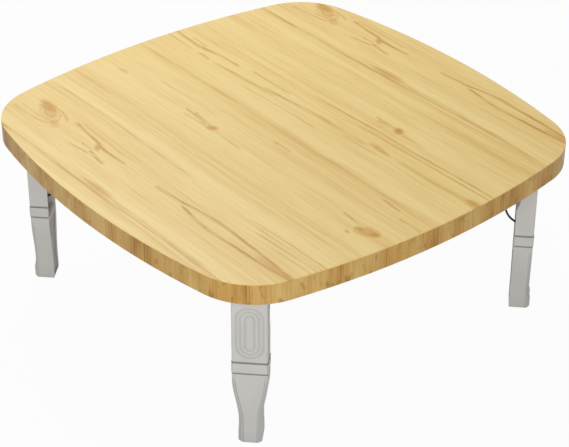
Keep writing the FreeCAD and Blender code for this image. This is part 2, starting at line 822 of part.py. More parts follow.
CORNER_PIECES = {
    "leg_shell": make_leg_shell,
    "back_cover": make_back_cover,
    "foot_pad": make_foot_pad,
    "hinge_bracket": make_bracket,
    "bracket_screws": make_screws,
    "hinge_rivets": make_rivets,
    "hinge_washers": make_washers,
    "anchor_pin": make_anchor_pin,
    "leg_pin": make_leg_pin,
    "bow_spring": make_bow_spring,
}


def stand_at_corner(body, angle):
    """Turns a piece to face out at its corner, over the hinge's place on the diagonal."""
    body.Placement = FreeCAD.Placement(
        FreeCAD.Vector(0, 0, 0), FreeCAD.Rotation(FreeCAD.Vector(0, 0, 1), angle + HALF_TURN),
    )
    bind(body, "Placement.Base.x", HINGE_REACH * math.cos(math.radians(angle)))
    bind(body, "Placement.Base.y", HINGE_REACH * math.sin(math.radians(angle)))


def make_corner_pieces():
    """Draws each corner piece once and stands a copy of it at every corner."""
    pieces = []
    for name, make in CORNER_PIECES.items():
        pattern = new_body(f"{name}_pattern")
        make(pattern)
        for corner, angle in CORNERS.items():
            copy = new_body(f"{name}_{corner}")
            base = copy.newObject("PartDesign::FeatureBase", f"{name}_{corner}_base")
            base.BaseFeature = pattern
            copy.Tip = base
            stand_at_corner(copy, angle)
            pieces.append(copy)
    doc.recompute()
    return pieces


def check(pieces):
    """Stops if anything in the document failed or a piece is not a sound solid."""
    for item in doc.Objects:
        if {"Invalid", "Error"} & set(item.State):
            raise ValueError(f"{item.Label} failed: {item.State}")
    for piece in pieces:
        if piece.Shape.isNull() or not piece.Shape.isValid() or not piece.Shape.Solids:
            raise ValueError(f"{piece.Label} has no sound shape")


def write(pieces):
    os.makedirs("parts", exist_ok=True)
    for piece in pieces:
        piece.Shape.exportStep(f"parts/{piece.Label}.step")
        box = piece.Shape.BoundBox
        print(f"{piece.Label}: {len(piece.Shape.Solids)} solids, {piece.Shape.Volume:.0f} mm3, "
              f"z {box.ZMin:.1f} to {box.ZMax:.1f}")


all_pieces = make_board() + make_corner_pieces()
check(all_pieces)
write(all_pieces)
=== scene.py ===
# %% [markdown]
# # A folding floor table
# A low square table with bowed sides, a printed pine top and four moulded grey legs that fold
# in under the board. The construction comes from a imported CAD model, already at its real size
# and place. This lesson gives every piece its finish, softens what a mould would soften, and
# then sets a plain floor, soft light and a camera around the table.

# %% Load the construction
import json
import math

import bpy
from mathutils import Color, Matrix, Vector

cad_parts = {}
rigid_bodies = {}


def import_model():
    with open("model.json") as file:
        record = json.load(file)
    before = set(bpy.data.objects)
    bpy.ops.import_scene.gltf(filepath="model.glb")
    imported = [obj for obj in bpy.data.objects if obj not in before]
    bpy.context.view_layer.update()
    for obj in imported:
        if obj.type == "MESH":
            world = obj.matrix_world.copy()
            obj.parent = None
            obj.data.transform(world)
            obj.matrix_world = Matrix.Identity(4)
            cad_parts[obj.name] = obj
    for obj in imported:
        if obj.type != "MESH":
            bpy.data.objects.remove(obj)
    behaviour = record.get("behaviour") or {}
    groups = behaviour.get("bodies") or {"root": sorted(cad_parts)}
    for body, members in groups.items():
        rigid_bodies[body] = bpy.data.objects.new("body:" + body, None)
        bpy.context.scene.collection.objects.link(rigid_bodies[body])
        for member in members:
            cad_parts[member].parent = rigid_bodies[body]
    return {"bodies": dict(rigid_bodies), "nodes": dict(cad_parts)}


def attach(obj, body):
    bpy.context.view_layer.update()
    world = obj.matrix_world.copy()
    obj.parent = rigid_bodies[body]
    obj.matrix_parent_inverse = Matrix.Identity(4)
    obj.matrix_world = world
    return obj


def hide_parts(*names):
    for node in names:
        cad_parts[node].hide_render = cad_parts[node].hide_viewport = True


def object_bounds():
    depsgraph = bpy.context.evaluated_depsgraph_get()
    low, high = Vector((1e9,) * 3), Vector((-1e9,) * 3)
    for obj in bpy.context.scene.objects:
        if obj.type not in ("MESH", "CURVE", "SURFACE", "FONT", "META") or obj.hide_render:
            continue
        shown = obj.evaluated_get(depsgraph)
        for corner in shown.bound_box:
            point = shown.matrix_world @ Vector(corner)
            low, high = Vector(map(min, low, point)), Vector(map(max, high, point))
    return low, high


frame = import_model()
cad_low, cad_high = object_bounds()
NODES = frame["nodes"]
CORNERS = [body.removeprefix("leg_") for body in frame["bodies"] if body.startswith("leg_")]
print(f"{len(NODES)} pieces, corners {CORNERS}, size {[round(side, 3) for side in cad_high - cad_low]} m")

# %% [markdown]
# ## Helpers for node networks
# A finish in Blender is a small network of nodes that ends in one shader. Dragging wires by
# hand suits a single material. This table needs eleven that share the same habits, and its
# floor and sky are wired from the same nodes. So a short class adds a node, sets or wires its
# sockets and hands back what comes out, and two more build on it.

# %% Wiring helper
class Wiring:
    """A node network while it is being put together."""

    def __init__(self, tree):
        self.nodes = tree.nodes
        self.links = tree.links

    def feed(self, socket, value):
        """Wires a socket to another, or sets it."""
        if isinstance(value, bpy.types.NodeSocket):
            self.links.new(value, socket)
        else:
            socket.default_value = value

    def add(self, kind, *values, **settings):
        """Adds a node with its settings, and feeds its first sockets in order."""
        node = self.nodes.new(kind)
        for name, setting in settings.items():
            setattr(node, name, setting)
        for socket, value in zip(node.inputs, values):
            self.feed(socket, value)
        return node

    def math(self, operation, *values):
        return self.add("ShaderNodeMath", *values, operation=operation).outputs[0]

    def vector(self, operation, *values):
        node = self.add("ShaderNodeVectorMath", *values, operation=operation)
        gives_number = operation in ("LENGTH", "DOT_PRODUCT")
        return node.outputs["Value" if gives_number else "Vector"]

    def point(self, x, y, z):
        return self.add("ShaderNodeCombineXYZ", x, y, z).outputs[0]

    def spread(self, value, low, high, to_low=0.0, to_high=1.0, smooth=False):
        """Maps a span of values onto another, held at both ends."""
        kind = "SMOOTHSTEP" if smooth else "LINEAR"
        node = self.add("ShaderNodeMapRange", value, low, high, to_low, to_high, interpolation_type=kind)
        return node.outputs[0]

    def weigh(self, *shares):
        """The sum of several values, each given with its weight."""
        total = 0.0
        for value, weight in shares:
            total = self.math("MULTIPLY_ADD", value, weight, total)
        return total

    def largest(self, *values):
        """The largest of several values."""
        most, *others = values
        for value in others:
            most = self.math("MAXIMUM", most, value)
        return most


print("wiring helper ready")

# %% [markdown]
# Wood, paper and plated steel are never one flat colour. Noise gives soft, uneven patches and,
# stretched along one axis, fibres. Cells give grains. A colour ramp turns such a pattern into
# colours, and a mix lays one colour over another. All this could be painted as pictures, but
# worked out like this it has no seams and no pixels.

# %% Pattern helper
class Patterns(Wiring):
    """A node network that draws patterns and colours."""

    def noise(self, place, repeats, detail=2.0, rough=0.5):
        """Soft noise, with its repeats per metre along x, y and z."""
        node = self.add("ShaderNodeTexNoise", self.vector("MULTIPLY", place, repeats))
        node.inputs["Scale"].default_value = 1.0
        node.inputs["Detail"].default_value = detail
        node.inputs["Roughness"].default_value = rough
        return node.outputs["Fac"]

    def cells(self, place, repeats, output="Distance"):
        """A pattern of grains, with its repeats per metre along x, y and z."""
        node = self.add("ShaderNodeTexVoronoi", self.vector("MULTIPLY", place, repeats))
        node.inputs["Scale"].default_value = 1.0
        return node.outputs[output]

    def ramp(self, value, *stops):
        """A colour ramp; each stop is its place from 0 to 1 and a colour."""
        node = self.add("ShaderNodeValToRGB", value)
        elements = node.color_ramp.elements
        while len(elements) < len(stops):
            elements.new(1.0)
        for element, (place, colour) in zip(elements, stops):
            element.position = place
            element.color = colour
        return node.outputs[0]

    def mix(self, share, first, second, blend="MIX"):
        """Lays the second colour over the first, by a share from 0 to 1."""
        node = self.add("ShaderNodeMix", share, data_type="RGBA", blend_type=blend)
        colours = [socket for socket in node.inputs if socket.type == "RGBA"]
        for socket, colour in zip(colours, (first, second)):
            self.feed(socket, colour)
        return next(socket for socket in node.outputs if socket.type == "RGBA")


print("pattern helper ready")

# %% [markdown]
# A finish reads Object coordinates. They are metres from the piece's own origin, so a pattern
# keeps its real size and stays put when a leg swings. Colours are written as a screen shows
# them, because that is how they are read off a sample, and turned into the linear values that
# nodes take.

# %% Finish helper
FULL_COLOUR = 255
FINISHES = {}


def paint(red, green, blue):
    """A colour as a screen shows it, 0 to 255, in the linear values that nodes take."""
    shown = Color((red / FULL_COLOUR, green / FULL_COLOUR, blue / FULL_COLOUR))
    return (*shown.from_srgb_to_scene_linear(), 1.0)


class Finish(Patterns):
    """One node material, which ends in a shader and reads Object coordinates."""

    def __init__(self, name):
        self.material = bpy.data.materials.new(name)
        self.material.use_nodes = True
        super().__init__(self.material.node_tree)
        self.shader = self.nodes["Principled BSDF"]
        self.place = self.add("ShaderNodeTexCoord").outputs["Object"]
        self.x, self.y, self.z = self.add("ShaderNodeSeparateXYZ", self.place).outputs
        FINISHES[name] = self

    def bump(self, height, depth, strength):
        """Small relief, its depth in metres."""
        node = self.add("ShaderNodeBump")
        node.inputs["Strength"].default_value = strength
        node.inputs["Distance"].default_value = depth
        self.feed(node.inputs["Height"], height)
        self.feed(self.shader.inputs["Normal"], node.outputs[0])

    def set(self, **sockets):
        """Sets or wires the shader's own sockets, named with _ for a space."""
        for name, value in sockets.items():
            self.feed(self.shader.inputs[name.replace("_", " ")], value)


print("finish helper ready")

# %% [markdown]
# ## The printed pine top
# The top is a sheet of melamine with pine printed on it. The grain runs along x, and the print
# repeats across the board, which is how a sheet printed from a roller gives itself away: the
# same knot, fork and spear come back further along. A photograph would be the quick way to get
# it, but a procedural print stays sharp at any distance. It is built in layers: fibres, growth
# bands that flow round the knots, the knots, and single drawn streaks. The figure is marked out
# first, as a sign painter would do on a board, and here are its knots and stains.

# %% Knots and stains of the print
MM = 0.001
PRINT_REPEAT = 466.5 * MM
PRINT_LOW = -290 * MM

# Each row, in mm: centre along and across the grain, half length, half height, tilt in degrees,
# strength of the fill, and strength of the rings round it.
KNOTS = {
    "ringed_oval": (-211, -212, 26, 12, -19, 0.46, 0.50),
    "oval_core": (-226, -205, 22, 10, -14, 0.86, 0.0),
    "oval_shadow": (-184, -224, 13, 7, -22, 0.46, 0.0),
    "fork_eye": (-99, -214, 11, 5, -38, 0.75, 0.0),
    "spear_heart": (262, -210, 60, 7, 0, 0.28, 0.0),
    "line_stain": (-18, -268, 32, 6, 2, 0.60, 0.0),
    "tailed_right": (105, 108, 9, 6, -28, 0.98, 0.40),
    "tailed_middle": (-49, -72, 9, 6, 18, 0.88, 0.40),
    "faint_left": (-247, -72, 11, 4, 0, 0.40, 0.25),
    "large_right": (258, -77, 16, 10, 24, 0.66, 0.36),
    "left_lobe": (249, -79, 9, 5, 20, 0.88, 0.0),
    "right_lobe": (267, -75, 9, 6, 20, 1.00, 0.0),
    "dark_speck": (242, -95, 6, 3, -20, 0.55, 0.0),
    "long_stain": (123, 59, 22, 5, -5, 0.62, 0.0),
    "end_stain": (291, 61, 14, 6, 0, 0.80, 0.0),
    "wave_heart": (-231, 52, 14, 4, -8, 0.46, 0.0),
}
print(f"{len(KNOTS)} knots and stains, repeated every {PRINT_REPEAT:.4f} m")

# %% [markdown]
# Where the saw runs along a growth ring, the ring shows as a long brown streak. Two of them
# that part and close again make a spear, and several that meet at an eye make a fork. Noise
# alone never draws such a figure, so these are placed one by one.

# %% Streaks of the print
# Each row, in mm: start and end along the grain, height at the start, rise to the end, bow in
# between, half width, and strength.
STREAKS = {
    "fork": [
        (-170, -97, -200, -9, 0, 1.9, 0.66), (-106, -42, -210, 1, -1, 2.1, 0.71),
        (-166, -58, -195, -4, 0, 1.5, 0.35), (-100, -60, -226, -5, -1, 2.0, 0.71),
        (-134, -94, -237, 6, 1, 1.7, 0.45), (-122, -98, -223, -1, 0, 1.6, 0.40),
    ],
    "spear": [
        (18, 80, -210, 3, 0, 2.4, 0.54), (62, 142, -208, 9, 2, 1.8, 0.78),
        (122, 292, -199, -11, 1, 1.9, 0.78), (74, 142, -211, -8, -1, 1.8, 0.78),
        (124, 292, -219, 8, -2, 1.9, 0.78), (215, 310, -210, 0, 0, 4.0, 0.36),
    ],
    "oval rings": [
        (-262, -186, -236, 7, -3, 1.8, 0.45), (-258, -190, -226, 3, -3, 1.6, 0.40),
        (-214, -176, -199, -9, 2, 1.6, 0.40),
    ],
    "long lines": [
        (-300, 60, -275, 0, 0, 2.2, 0.52), (-20, 270, -274, 1, 1, 2.0, 0.43),
        (-70, 220, -268, -1, 0, 1.6, 0.30), (-40, 320, 85, 4, 1, 1.5, 0.60),
        (40, 320, 79, 3, 0, 1.3, 0.43), (-250, -60, 84, -1, 1, 1.6, 0.21),
        (-300, 320, -8, -3, 2, 2.4, 0.26), (-200, -70, -49, 1, 1, 1.3, 0.34),
        (-285, 40, -162, -2, 1, 1.8, 0.39), (-300, 300, -120, 2, 2, 3.4, 0.15),
        (-300, 300, -131, 1, 2, 2.6, 0.19),
    ],
    "waves": [
        (-315, -233, 57, -7, 0, 2.4, 0.52), (-315, -238, 42, -3, 0, 2.2, 0.39),
        (-240, -158, 51, 7, 2, 2.2, 0.56), (-228, -200, 39, -2, 1, 2.0, 0.43),
        (-270, -232, 60, -2, 1, 1.8, 0.34), (-195, -58, 38, 8, -2, 2.2, 0.43),
        (-98, -16, 45, 7, 0, 2.2, 0.47), (-142, -54, 64, -4, 0, 2.2, 0.39),
        (-30, 112, 51, 2, 2, 3.0, 0.34), (60, 230, 46, -3, 2, 1.6, 0.34),
        (150, 320, 56, -3, 2, 1.8, 0.34), (-120, 40, 26, 3, 1, 1.6, 0.26),
    ],
    "tails": [
        (-114, -60, -67, -4, 0, 1.6, 0.55), (-98, -50, -64, -7, 0, 1.4, 0.50),
        (-42, 18, -73, -4, 0, 1.5, 0.40), (58, 98, 111, -2, 0, 1.6, 0.55),
        (-106, -58, -77, 3, -1, 1.4, 0.45), (66, 104, 106, 2, 0, 1.5, 0.55),
        (110, 160, 105, 0, 0, 1.5, 0.35), (206, 248, -70, -5, 0, 1.4, 0.45),
    ],
    "dashes": [
        (24, 62, -31, 0, 0, 1.2, 0.45), (30, 66, -37, 0, 0, 1.2, 0.45),
        (214, 250, -17, -1, 0, 1.2, 0.45), (258, 300, -30, 0, 1, 1.4, 0.50),
        (150, 320, -167, 2, 1, 1.1, 0.45), (166, 320, -173, 2, 1, 1.1, 0.45),
        (176, 320, -180, 2, 1, 1.1, 0.45), (184, 320, -187, 2, 1, 1.0, 0.35),
    ],
}
print(f"{sum(map(len, STREAKS.values()))} streaks in {len(STREAKS)} groups")

# %% [markdown]
# ## Grain that flows round the knots
# The growth rings of a sawn board are long lines that wander a little, part at a knot and close
# behind it. Drawing each one as a curve would take hundreds. Noise that is stretched along x
# gives them all at once, if the place that it reads is bent first. Here two slow waves keep the
# lines from running ruler straight, and the board is wrapped onto the repeat of the print. A
# Mapping node of the Texture kind then moves, turns and squeezes the board under a knot until
# the knot's oval is a circle of radius 1, so that every knot is measured in the same way.

# %% Places on the print
WANDER, WOBBLE = 6 * MM, 5 * MM
pine = Finish("wood_face")
wander = pine.noise(pine.place, (3.0, 9.0, 1.0), detail=1.0)
wobble = pine.noise(pine.place, (16.0, 70.0, 1.0), detail=2.0)
across = pine.math("MULTIPLY_ADD", wander, WANDER, pine.y)
across = pine.math("MULTIPLY_ADD", wobble, WOBBLE, across)
across = pine.math("SUBTRACT", across, (WANDER + WOBBLE) / 2)
print_y = pine.math("WRAP", across, PRINT_LOW + PRINT_REPEAT, PRINT_LOW)
on_print = pine.point(pine.x, print_y, 0.0)


def knot_reach(centre_x, centre_y, half_long, half_high, tilt):
    """Distance from a knot's centre, 1 at its rim."""
    centre = (centre_x * MM, centre_y * MM, 0.0)
    turn = (0.0, 0.0, math.radians(tilt))
    halves = (half_long * MM, half_high * MM, 1.0)
    from_knot = pine.add("ShaderNodeMapping", on_print, centre, turn, halves, vector_type="TEXTURE")
    return pine.vector("LENGTH", from_knot.outputs[0])


print(f"print laid on the board, its lines wander by {(WANDER + WOBBLE) / 2 / MM:.1f} mm either way")

# %% [markdown]
# A branch pushes the growth rings of the trunk aside. Round each ringed knot the place across
# the grain is drawn toward the knot's middle, most at the knot itself and less and less along
# the board, so lines that would cross the knot part and close again. Four noises then read that
# place: growth bands, fine fibres, short dashes, and a broad drift in tone.

# %% Grain layers
FLOW_LONG, FLOW_TILT, FLOW_REACH, FLOW_PULL = 2.2, 0.5, 2.4, 0.8
flow_y = print_y
for centre_x, centre_y, half_long, half_high, tilt, strength, rings in KNOTS.values():
    if rings:
        reach = knot_reach(centre_x, centre_y, half_long * FLOW_LONG, half_high, tilt * FLOW_TILT)
        pull = pine.spread(reach, 0.0, FLOW_REACH, FLOW_PULL * strength, 0.0, smooth=True)
        aside = pine.math("SUBTRACT", print_y, centre_y * MM)
        flow_y = pine.math("SUBTRACT", flow_y, pine.math("MULTIPLY", aside, pull))
grain = pine.point(pine.x, flow_y, 0.0)

bands = pine.noise(grain, (1.3, 48.0, 1.0), detail=3.0, rough=0.55)
fibres = pine.noise(grain, (10.0, 330.0, 1.0), detail=3.0, rough=0.6)
dashes = pine.noise(grain, (24.0, 260.0, 1.0), detail=2.0)
breadth = pine.noise(grain, (1.5, 17.0, 1.0), detail=1.0)
print("grain layers: bands, fibres, dashes, breadth")

# %% [markdown]
# ## Knots and streaks on the grain
# A knot is a branch cut across: a browner oval, some with a few dark rings. A picture of one
# could be stamped on the board, but then all knots would look alike. Here the fill fades out at
# the rim, the grain nibbles at its outline, and a cosine of the distance gives the rings. Where
# marks lie over each other the stronger one counts, as ink does on paper.

# %% Knots
NIBBLE = 0.9
FILL_END, FILL_FULL = 1.25, 0.35
RING_TURNS = 12.0
RING_FROM, RING_FULL, RING_FADE, RING_END = 0.2, 0.5, 0.7, 1.7
RING_THIN = 0.2

fills, lines = [], []
for *shape, strength, rings in KNOTS.values():
    smooth_reach = pine.math("SUBTRACT", knot_reach(*shape), NIBBLE / 2)
    reach = pine.math("MULTIPLY_ADD", dashes, NIBBLE, smooth_reach)
    fills.append(pine.spread(reach, FILL_END, FILL_FULL, 0.0, strength, smooth=True))
    if rings:
        wave = pine.math("COSINE", pine.math("MULTIPLY", reach, RING_TURNS))
        ring = pine.spread(wave, RING_THIN, 1.0, 0.0, rings)
        outer = pine.spread(reach, RING_END, RING_FADE, smooth=True)
        inner = pine.spread(reach, RING_FROM, RING_FULL)
        lines.append(pine.math("MULTIPLY", ring, pine.math("MULTIPLY", outer, inner)))
knot_fill = pine.largest(*fills)
print(f"{len(fills)} knots filled, {len(lines)} of them ringed")

# %% [markdown]
# A streak is a slightly bowed line that fades at its sides and at both ends. A curve object could
# draw it, but would have to lie on the sheet as a mesh of its own. Worked out from x and y it
# takes about ten nodes and stays part of the print, so it wanders with the grain and comes back
# with the repeat.

# %% Streaks
END_FADE = 0.09
HUMP_TOP = 0.25
SOFT_SIDE = 2.0

for start, end, height, rise, bow, half_width, strength in sum(STREAKS.values(), []):
    along = pine.spread(pine.x, start * MM, end * MM)
    hump = pine.math("MULTIPLY", along, pine.math("SUBTRACT", 1.0, along))
    centre = pine.math("MULTIPLY_ADD", along, rise * MM, height * MM)
    centre = pine.math("MULTIPLY_ADD", hump, bow * MM / HUMP_TOP, centre)
    away = pine.math("ABSOLUTE", pine.math("SUBTRACT", print_y, centre))
    mark = pine.spread(away, SOFT_SIDE * half_width * MM, 0.0, 0.0, strength, smooth=True)
    lines.append(pine.math("MULTIPLY", mark, pine.spread(hump, 0.0, END_FADE)))
line_mark = pine.largest(*lines)
print(f"{len(lines)} rings and streaks drawn on the grain")

# %% [markdown]
# ## Colour and gloss of the top
# The print is honey coloured, with little between its palest and its deepest tone. The tone is
# a weighted sum of fibres, bands and broad drift, run through a colour ramp. Lines and knots
# are laid over it, and the grain breaks the lines up. Melamine has a satin gloss, a shade
# duller on the fibres, and a relief that can barely be felt.

# %% Top finish
PINE_PALE, PINE_MID, PINE_DEEP = paint(238, 213, 142), paint(231, 200, 124), paint(216, 178, 97)
PINE_LINE, PINE_KNOT = paint(184, 137, 2), paint(195, 140, 2)
PINE_ROUGH, PINE_RELIEF = (0.33, 0.42), 0.04 * MM
THIN_LINES = 0.14

tone = pine.weigh((bands, 0.42), (breadth, 0.32), (fibres, 0.46))
wood = pine.ramp(tone, (0.44, PINE_PALE), (0.60, PINE_MID), (0.76, PINE_DEEP))
wood = pine.mix(pine.spread(bands, 0.58, 0.70, 0.0, THIN_LINES, smooth=True), wood, PINE_LINE)
broken = pine.math("MULTIPLY", line_mark, pine.spread(dashes, 0.34, 0.58, 0.5, 1.30))
broken = pine.math("MULTIPLY", broken, pine.spread(fibres, 0.36, 0.60, 0.70, 1.30))
wood = pine.mix(broken, wood, PINE_LINE)
wood = pine.mix(knot_fill, wood, PINE_KNOT)
pine.set(Base_Color=wood, Roughness=pine.spread(fibres, 0.2, 0.8, *PINE_ROUGH))
pine.bump(fibres, PINE_RELIEF, 0.5)
print(f"pine print finished with {len(pine.nodes)} nodes")

# %% [markdown]
# ## The edge strip
# A thin strip is glued round the rim. Its print is cut across the grain, so short upright
# streaks and browner blocks follow each other all the way round. A pattern on plain x and y
# would smear where the strip turns, so the finish first works out a running measure along the
# strip, side by side, and lays the streaks along that. The two ends of the strip meet at the
# far left corner, where a real one has its joint.

# %% A measure along the rim
HALF_BOARD = cad_high.x
SIDE_SPAN = 2.0  # half boards in one side of the rim

strip = Finish("wood_edge")
span_x, span_y = strip.math("ABSOLUTE", strip.x), strip.math("ABSOLUTE", strip.y)
turned_y = strip.math("MULTIPLY", strip.y, strip.math("SIGN", strip.x))
turned_x = strip.math("MULTIPLY", strip.x, strip.math("SIGN", strip.y))
along_y, along_x = strip.math("DIVIDE", turned_y, span_x), strip.math("DIVIDE", turned_x, span_y)

on_right = strip.math("GREATER_THAN", strip.x, 0.0)
on_back = strip.math("GREATER_THAN", strip.y, 0.0)
left_or_right = strip.math("MULTIPLY_ADD", on_right, 2 * SIDE_SPAN, along_y)
front_or_back = strip.math("MULTIPLY_ADD", on_back, 2 * SIDE_SPAN, SIDE_SPAN)
front_or_back = strip.math("SUBTRACT", front_or_back, along_x)

at_side = strip.math("GREATER_THAN", span_x, span_y)
difference = strip.math("SUBTRACT", left_or_right, front_or_back)
half_boards = strip.math("MULTIPLY_ADD", at_side, difference, front_or_back)
unrolled = strip.point(strip.math("MULTIPLY", half_boards, HALF_BOARD), strip.z, 0.0)
print(f"rim unrolled to about {4 * SIDE_SPAN * HALF_BOARD:.2f} m")

# %% [markdown]
# On the unrolled rim the strip's print is three noises: broad blocks, fine upright streaks and a
# few dark flecks. Blocks and streaks are added up and run through a colour ramp from pale to
# brown, and the flecks are laid over it. The strip shines less than the top, so its specular
# level is low. That is one number for the whole strip, and it is set on the shader itself.

# %% Edge strip finish
EDGE_PALE, EDGE_MID = paint(214, 180, 113), paint(201, 163, 95)
EDGE_RED, EDGE_DARK = paint(197, 151, 83), paint(156, 115, 58)
EDGE_SHINE, EDGE_ROUGH, EDGE_RELIEF = 0.15, (0.36, 0.46), 0.05 * MM
FLECK_SHARE = 0.65

blocks = strip.noise(unrolled, (34.0, 6.0, 1.0), detail=1.0)
streaks = strip.noise(unrolled, (330.0, 9.0, 1.0), detail=3.0, rough=0.6)
flecks = strip.noise(unrolled, (90.0, 55.0, 1.0), detail=2.0)
edge_tone = strip.weigh((blocks, 0.55), (streaks, 0.5))
edge_stops = (0.40, EDGE_PALE), (0.51, EDGE_MID), (0.58, EDGE_RED), (0.70, EDGE_DARK)
edge_wood = strip.ramp(edge_tone, *edge_stops)
fleck_mark = strip.spread(flecks, 0.56, 0.72, 0.0, FLECK_SHARE, smooth=True)
edge_wood = strip.mix(fleck_mark, edge_wood, EDGE_DARK)
strip.set(Base_Color=edge_wood, Specular_IOR_Level=EDGE_SHINE)
strip.set(Roughness=strip.spread(streaks, 0.2, 0.8, *EDGE_ROUGH))
strip.bump(streaks, EDGE_RELIEF, 0.5)
print(f"edge strip finished with {len(strip.nodes)} nodes")

# %% [markdown]
# ## Underside and core
# The underside has a thin brown backing sheet with a faint paper fibre in it. One flat colour
# would do from afar, but the table is also seen from below, with its legs folded. A fine noise
# gives the pulp and a broad one the cloudy tone of cheap paper.

# %% Backing sheet
PAPER_PALE, PAPER_MID, PAPER_DEEP = paint(201, 176, 136), paint(190, 163, 122), paint(172, 144, 104)
PAPER_ROUGH, PAPER_RELIEF = (0.5, 0.65), 0.05 * MM

backing = Finish("backing_sheet")
pulp = backing.noise(backing.place, (260.0, 420.0, 40.0), detail=4.0, rough=0.65)
cloud = backing.noise(backing.place, (5.0, 8.0, 2.0), detail=2.0)
paper_tone = backing.weigh((pulp, 0.6), (cloud, 0.4))
paper = backing.ramp(paper_tone, (0.35, PAPER_PALE), (0.55, PAPER_MID), (0.75, PAPER_DEEP))
backing.set(Base_Color=paper, Roughness=backing.spread(pulp, 0.2, 0.8, *PAPER_ROUGH))
backing.bump(pulp, PAPER_RELIEF, 0.6)
print("backing sheet finished")

# %% [markdown]
# The fibreboard between the two sheets only shows in the screw holes. It gets its fibres as
# well, so that the piece is complete when someone takes the table apart. Cells, each with a
# colour of its own, stand for the pressed chips, and fine noise for the dust between them.

# %% Fibreboard core
FIBRE_PALE, FIBRE_DEEP = paint(190, 158, 112), paint(158, 124, 82)
FIBRE_ROUGH, FIBRE_RELIEF = (0.75, 0.95), 0.2 * MM
CHIP_SHARE = 0.25

core = Finish("board_core")
chips = core.cells(core.place, (420.0, 420.0, 900.0), "Color")
dust_and_painted_shade = core.noise(core.place, (900.0, 900.0, 1400.0), detail=3.0)
fibreboard = core.mix(CHIP_SHARE, FIBRE_PALE, chips, "OVERLAY")
core.set(Base_Color=core.mix(dust_and_painted_shade, fibreboard, FIBRE_DEEP))
core.set(Roughness=core.spread(dust_and_painted_shade, 0.2, 0.8, *FIBRE_ROUGH))
core.bump(dust_and_painted_shade, FIBRE_RELIEF, 0.7)
print("fibreboard finished")

# %% [markdown]
# ## Moulded legs
# The legs are satin grey plastic from a spark-eroded mould, which leaves a very fine pebbled skin. A
# broad, faint drift in tone and gloss comes from the way the melt cools. Neither is a shape to model, so
# both live in the finish. The finish also paints shade into the grooves, the oval rings and along the
# frame of the lower panel, darkening those places a little. It finds them by their height and by two
# measures that are the same for every corner: how far a point lies outward along the table's diagonal,
# and how far aside of it.

# %% Where the leg's details lie
GROOVES, GROOVE_HALF = (118.4 * MM, 102.6 * MM), 1.1 * MM
RINGS, RING_HALF = (16.0 * MM, 11.0 * MM, 5.4 * MM), 1.9 * MM
RING_HEIGHT, RING_STRAIGHT = 160.0 * MM, 19.0 * MM
NECK, ANKLE, TOE = 96.0 * MM, 29.0 * MM, 14.0 * MM
NECK_HALF, ANKLE_HALF, TOE_NARROWER = 19.0 * MM, 10.0 * MM, 0.7 * MM

DIAGONALS = Vector((1, -1, 0)).normalized(), Vector((1, 1, 0)).normalized()
to_front_right = DIAGONALS[0]
leg_front = max(to_front_right.dot(point.co) for point in NODES["leg_shell_front_right"].data.vertices)


def leg_measures(plastic):
    """How far a point lies aside of the nearest diagonal of the table, and outward along it."""
    reaches = [plastic.vector("DOT_PRODUCT", plastic.place, diagonal) for diagonal in DIAGONALS]
    reaches = [plastic.math("ABSOLUTE", reach) for reach in reaches]
    return plastic.math("MINIMUM", *reaches), plastic.math("MAXIMUM", *reaches)


print(f"legs reach {leg_front:.4f} m out along the diagonal")

# %% [markdown]
# A groove is a band of heights, so its shade needs no more than the distance from its middle. A
# ring is an oval with straight sides: with the straight part cut out of the height, what is left
# is a circle, and the distance from that is easy. Shade could also be painted on a texture, but
# it would have to be painted again whenever a groove moves.

# %% Shade in grooves and rings
GROOVE_SHADE, RING_SHADE = 0.55, 0.24
GROOVE_FULL, GROOVE_END = 0.7 * GROOVE_HALF, 1.6 * GROOVE_HALF


def groove_shade(plastic):
    """Dark in the two grooves that run round the waist."""
    marks = []
    for height in GROOVES:
        off = plastic.math("ABSOLUTE", plastic.math("SUBTRACT", plastic.z, height))
        marks.append(plastic.spread(off, GROOVE_END, GROOVE_FULL, 0.0, GROOVE_SHADE, smooth=True))
    return plastic.largest(*marks)


def ring_shade(plastic, aside):
    """Dark in the oval rings of the upper block, each two half circles and two straights."""
    rise = plastic.math("ABSOLUTE", plastic.math("SUBTRACT", plastic.z, RING_HEIGHT))
    beyond = plastic.math("MAXIMUM", plastic.math("SUBTRACT", rise, RING_STRAIGHT), 0.0)
    reach = plastic.vector("LENGTH", plastic.point(aside, beyond, 0.0))
    marks = []
    for radius in RINGS:
        off = plastic.math("ABSOLUTE", plastic.math("SUBTRACT", reach, radius))
        marks.append(plastic.spread(off, RING_HALF, 0.0, 0.0, RING_SHADE, smooth=True))
    return plastic.largest(*marks)


print(f"{len(GROOVES)} grooves and {len(RINGS)} rings to shade")

# %% [markdown]
# The lower front of a leg is a panel in a narrow frame, wide at the neck and narrow at the ankle. Its
# half width is a smooth blend by height, and the measure aside then tells how far a point lies past it.
# The step down to the panel gets a thin line of painted shade, and the bevels beside it a light painted
# shade.

# %% Shade along the frame of the lower panel
BEVEL_SHADE, STEP_SHADE = 0.17, 0.30
BEVEL_FROM, BEVEL_FULL = -0.6 * MM, 0.5 * MM
STEP_IN, STEP_HALF = 1.25 * MM, 1.1 * MM
PANEL_FADE = 8 * MM
PANEL_BACK, PANEL_FRONT = 7.5 * MM, 6.5 * MM


